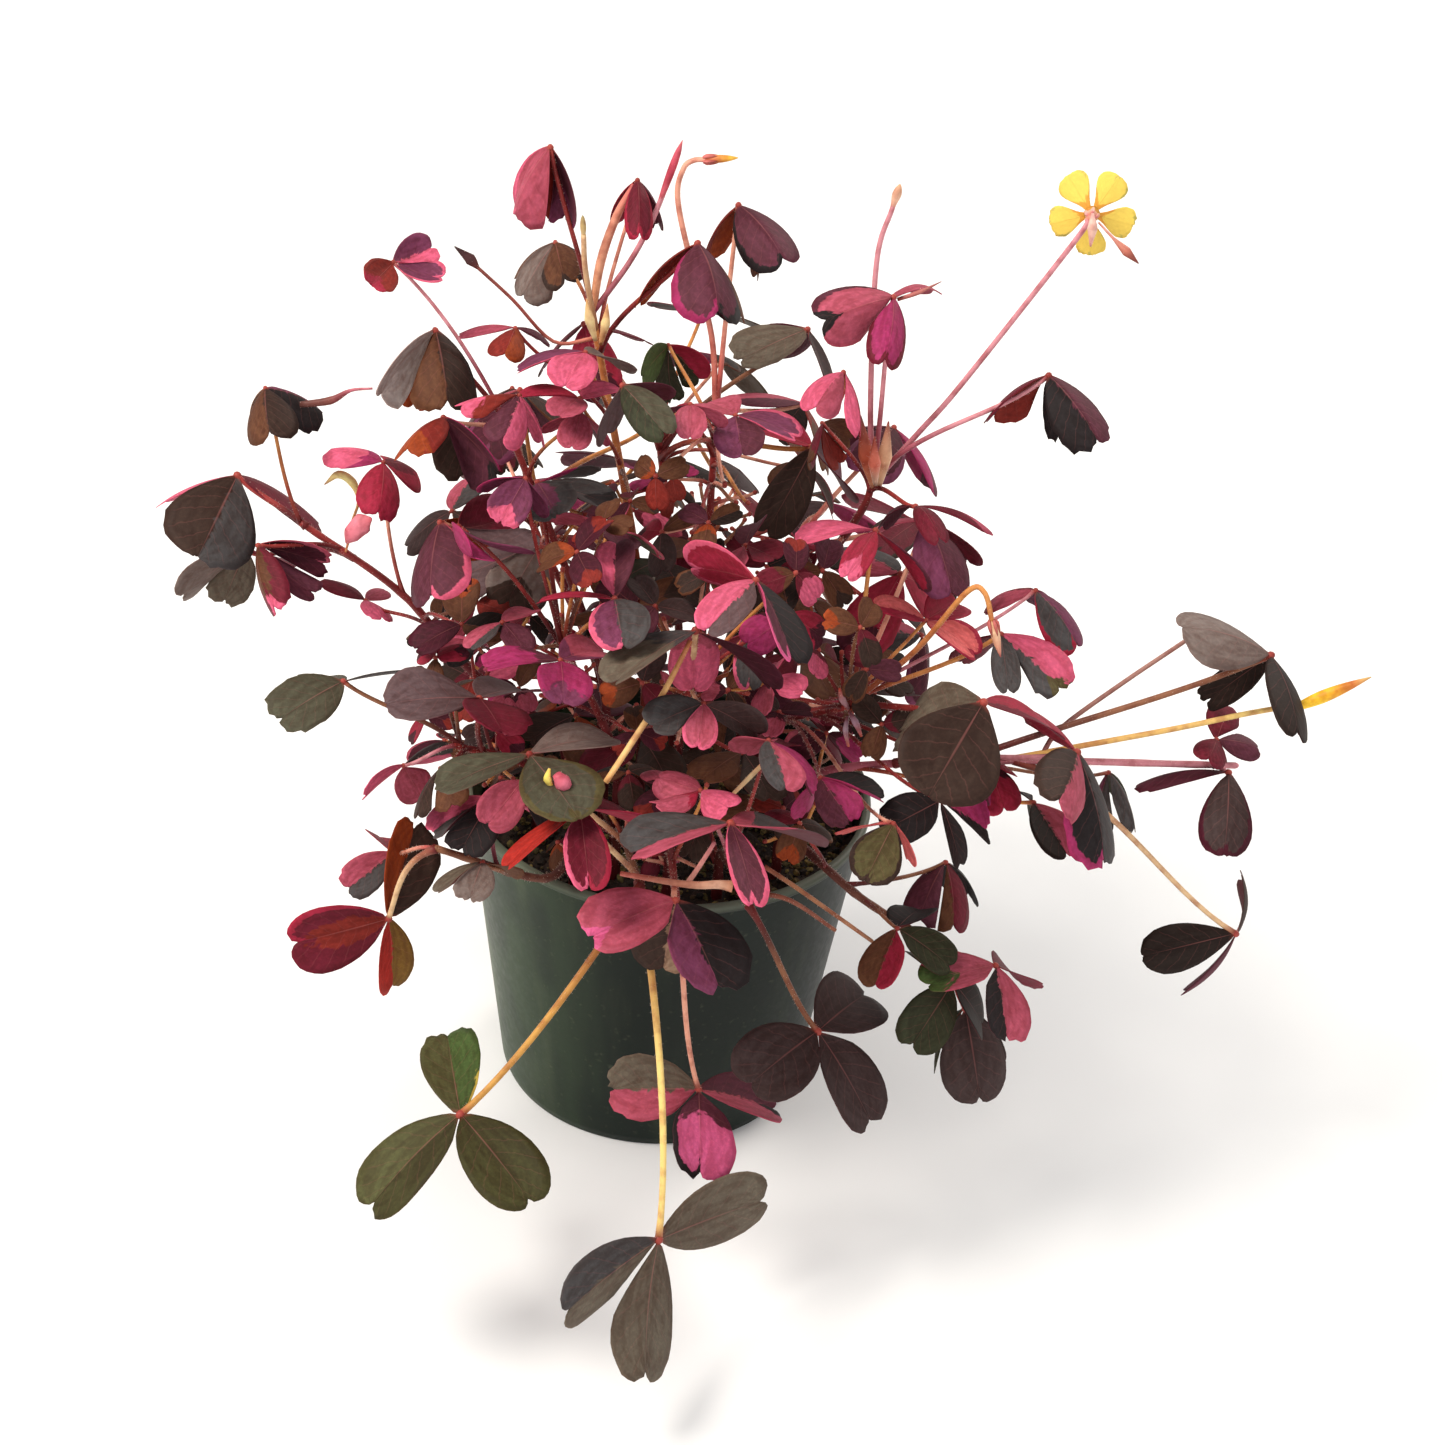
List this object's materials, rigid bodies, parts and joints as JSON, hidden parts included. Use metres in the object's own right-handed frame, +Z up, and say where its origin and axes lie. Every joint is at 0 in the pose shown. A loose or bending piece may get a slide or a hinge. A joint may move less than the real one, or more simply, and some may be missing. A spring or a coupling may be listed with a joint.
{
  "type": "potted plum crazy oxalis",
  "caption": "Potted wood sorrel with plum and pink three-part leaves on thin stalks and one open yellow flower, in a round tapered pot of soil.",
  "frame": {"origin": "centre of the pot's flat base, on the surface that it stands on", "axes": "+Z up along the pot's axis, +X to the right and -Y towards the viewer of the front"},
  "size_m": [0.3106, 0.2722, 0.2646],
  "materials": {
    "pot": "thin dark green nursery plastic, half gloss, dusty",
    "soil": "damp crumbly potting mix with olive grains",
    "foliage": "matt plum, rose and olive leaves with fine hairs",
    "petal": "thin soft yellow petals"
  },
  "bodies": {
    "root": {"pot": "pot", "soil": "soil", "summit_stem": "foliage", "upper_left_stem": "foliage", "left_arm_stem": "foliage", "left_low_stem": "foliage", "left_front_stem": "foliage", "front_left_stem": "foliage", "front_stem": "foliage", "front_right_stem": "foliage", "right_low_stem": "foliage", "right_long_stem": "foliage", "right_crown_stem": "foliage", "upper_right_stem": "foliage", "centre_stem": "foliage", "centre_left_stem": "foliage", "upper_middle_stem": "foliage", "back_left_stem": "foliage", "back_stem": "foliage", "back_right_stem": "foliage", "flower_corolla": "petal"}
  },
  "joints": []
}
